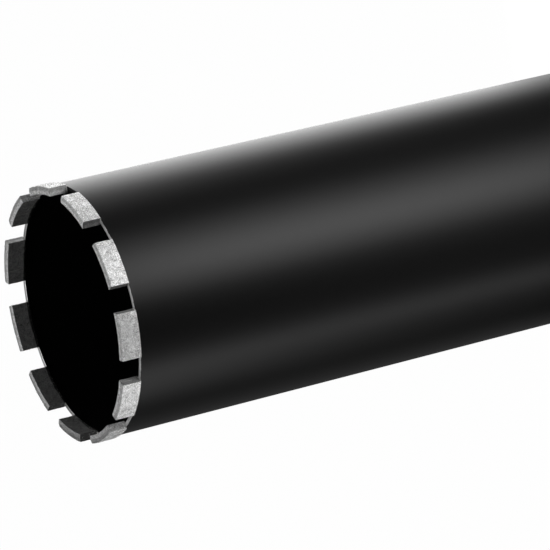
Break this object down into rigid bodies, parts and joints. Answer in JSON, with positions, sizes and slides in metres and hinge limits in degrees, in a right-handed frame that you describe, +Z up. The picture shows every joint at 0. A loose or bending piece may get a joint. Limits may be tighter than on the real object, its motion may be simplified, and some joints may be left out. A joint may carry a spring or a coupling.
{
  "type": "diamond core bit",
  "caption": "Thin-walled steel barrel with a crown of diamond segments, a welded back plate and a threaded hub, for wet drilling in concrete.",
  "frame": {"origin": "centre of the hub's end face, which the bit stands on", "axes": "+Z up the axis from the hub to the cutting crown; +X towards the middle of segment_01; the hub's spanner flats face +Y and -Y"},
  "size_m": [0.1316, 0.132, 0.498],
  "materials": {
    "black_paint": "smooth satin black paint on steel",
    "diamond_matrix": "blasted sintered metal with fine diamond grit",
    "hub_steel": "turned bare steel, lightly oiled"
  },
  "bodies": {
    "root": {"barrel": "black_paint", "back_plate": "black_paint", "hub": "hub_steel", "segment_01": "diamond_matrix", "segment_02": "diamond_matrix", "segment_03": "diamond_matrix", "segment_04": "diamond_matrix", "segment_05": "diamond_matrix", "segment_06": "diamond_matrix", "segment_07": "diamond_matrix", "segment_08": "diamond_matrix", "segment_09": "diamond_matrix", "segment_10": "diamond_matrix", "segment_11": "diamond_matrix"}
  },
  "joints": []
}
